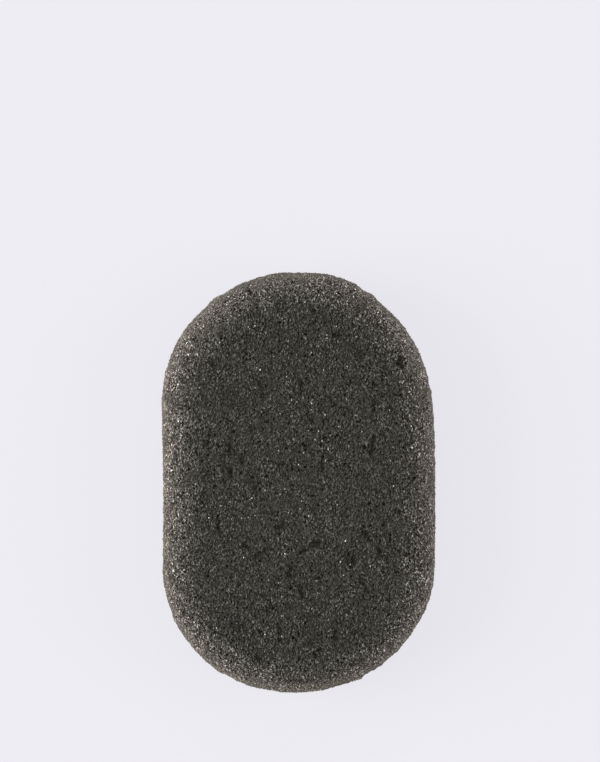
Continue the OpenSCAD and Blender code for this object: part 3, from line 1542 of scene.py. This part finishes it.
@dataclass
class Studio:
    """Plain pale floor, soft light from above and from low all round, and the camera overhead."""

    middle_z: float
    floor_half: float = 3.0
    pale: tuple[float, float, float, float] = (0.828, 0.82, 0.87, 1.0)
    white: tuple[float, float, float, float] = (1.0, 1.0, 1.0, 1.0)
    evened_share: float = 0.88
    fill: float = 0.45
    lens_mm: float = 200.0
    sensor_mm: float = 36.0

    def floor(self) -> None:
        """Lays the floor, whose shadow the camera sees evened out by a share of the plain backdrop."""
        half = self.floor_half
        mesh = bpy.data.meshes.new("floor")
        corners = [(-half, -half, 0.0), (half, -half, 0.0), (half, half, 0.0), (-half, half, 0.0)]
        mesh.from_pydata(corners, [], [(0, 1, 2, 3)])
        material = bpy.data.materials.new("pale_floor")
        material.use_nodes = True
        wiring, nodes = Wiring(material.node_tree), material.node_tree.nodes
        shader = nodes["Principled BSDF"]
        wiring.feed(shader, {"Base Color": self.pale, "Roughness": 1.0, "Specular IOR Level": 0.0})
        plain = wiring.add("ShaderNodeEmission", {"Color": self.pale, "Strength": 1.0})
        share = wiring.math("MULTIPLY", self.seen_directly(wiring), self.evened_share)
        mixed = wiring.add("ShaderNodeMixShader", {0: share, 1: shader.outputs[0], 2: plain.outputs[0]})
        wiring.feed(nodes["Material Output"], {"Surface": mixed.outputs[0]})
        mesh.materials.append(material)
        made = set_out("floor", mesh)

    @staticmethod
    def seen_directly(wiring: Wiring) -> bpy.types.NodeSocket:
        """Tells what is seen, also by way of gloss or glass, from what only gives light.

        Args:
            wiring: Wiring of a material or of the world.

        Returns:
            1 for rays that show something to the camera, and 0 for rays of light.
        """
        path = wiring.add("ShaderNodeLightPath").outputs
        direct = wiring.math("MAXIMUM", path["Is Camera Ray"], path["Is Glossy Ray"])
        return wiring.math("MAXIMUM", direct, path["Is Transmission Ray"])

    def sky(self) -> None:
        """Sets an even fill from all round, which the camera sees as a pale backdrop."""
        world = bpy.data.worlds.new("studio")
        bpy.context.scene.world = world
        world.use_nodes = True
        world.node_tree.nodes.clear()
        wiring = Wiring(world.node_tree)
        fill = wiring.add("ShaderNodeBackground", {"Color": self.white, "Strength": self.fill})
        seen = wiring.add("ShaderNodeBackground", {"Color": self.pale, "Strength": 1.0})
        shaders = {0: self.seen_directly(wiring), 1: fill.outputs[0], 2: seen.outputs[0]}
        mixed = wiring.add("ShaderNodeMixShader", shaders)
        wiring.add("ShaderNodeOutputWorld", {"Surface": mixed.outputs[0]})

    def lamps(self) -> None:
        """Hangs the soft boxes: one overhead, and four low ones, of which the left is strongest."""
        for box in SOFT_BOXES:
            box.hang(Vector((0.0, 0.0, self.middle_z)))

    def camera(self) -> None:
        """Sets the camera straight above, so that the sponge lies where the photograph has it."""
        data = bpy.data.cameras.new("camera")
        data.lens = self.lens_mm
        data.sensor_width = self.sensor_mm
        made = set_out("camera", data)
        long_side = max(PHOTO.width_px, PHOTO.height_px) / PHOTO.px_per_m
        middle = PHOTO.place((PHOTO.width_px / 2, PHOTO.height_px / 2))
        distance = long_side * self.lens_mm / self.sensor_mm
        made.location = (middle[0], middle[1], self.middle_z + distance)
        bpy.context.scene.camera = made


class Foam(Enum):
    """The finishes of the sponge's zones."""

    FACE = FoamFinish("face_foam")
    BACK = FoamFinish("back_foam")
    RIM = FoamFinish("rim_foam")
    CORE = FoamFinish(
        "core_foam", (0.0300, 0.0288, 0.0235), CORE_CELL, contrast=0.6, patch_size=CORE_PATCH, turn_gain=0.5
    )


class Carving(Enum):
    """The cells and lumps that are raised in the mesh."""

    SKIN = CellRelief()
    CORE = CellRelief(
        settling=0.0,
        cell_size=CORE_CELL,
        cell_depth=0.22 * MM,
        open_depth=0.6 * MM,
        lump_size=CORE_PATCH,
        lump_height=0.2 * MM,
        deepest=1.5 * MM,
        only_inwards=True,
    )


@dataclass
class Sponge:
    """The whole sponge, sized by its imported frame."""

    form: Form
    pores: Pores = field(default_factory=Pores)

    @classmethod
    def from_frame(cls) -> "Sponge":
        """Reads the sizes from the frame.

        Returns:
            The sponge with those sizes.
        """
        low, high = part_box("rim_skin")
        _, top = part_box("face_skin")
        half_w = (high.x - low.x) / 2
        section = Section(half_w, top.z)
        outline = Outline(half_w, high.y - low.y)
        return cls(Form(outline, section, Relief(outline, section)))

    def pieces(self) -> list[FoamPiece]:
        """Returns the sponge's pieces, from the inside out."""
        form, skin, coarse = self.form, Carving.SKIN.value, Carving.CORE.value
        return [
            Core("sponge_core", "foam_core", "core_foam", form, Foam.CORE.value, coarse),
            FlatSkin("sponge_back", "back_skin", "back_foam", form, Foam.BACK.value, skin, below=True),
            RimSkin("sponge_rim", "rim_skin", "rim_foam", form, Foam.RIM.value, skin),
            FlatSkin("sponge_face", "face_skin", "face_foam", form, Foam.FACE.value, skin),
        ]

    def build(self) -> None:
        """Builds and dresses every piece."""
        cells, mottle = CellTexture(), MottleTexture()
        carving, shading = (
            {"cells": cells.group(kind), "mottle": mottle.group(kind)}
            for kind in (TreeKind.GEOMETRY, TreeKind.SHADER)
        )
        shading["tone"] = ToneMixer().group()
        hollows = self.form.hollows(self.pores)
        for part in self.pieces():
            piece = part.build(hollows, carving)
            part.dress(piece, shading)
            log.info("%s: %d faces", piece.name, len(piece.data.polygons))


def main() -> None:
    """Builds the studio and the sponge."""
    logging.basicConfig(level=logging.INFO, format="%(name)s: %(message)s")
    bpy.context.scene.view_settings.view_transform = "Standard"
    sponge = Sponge.from_frame()
    studio = Studio(sponge.form.section.mid_z)
    studio.camera()
    studio.floor()
    studio.sky()
    studio.lamps()
    log.info("studio is set")
    sponge.build()


if __name__ == "__main__":
    main()
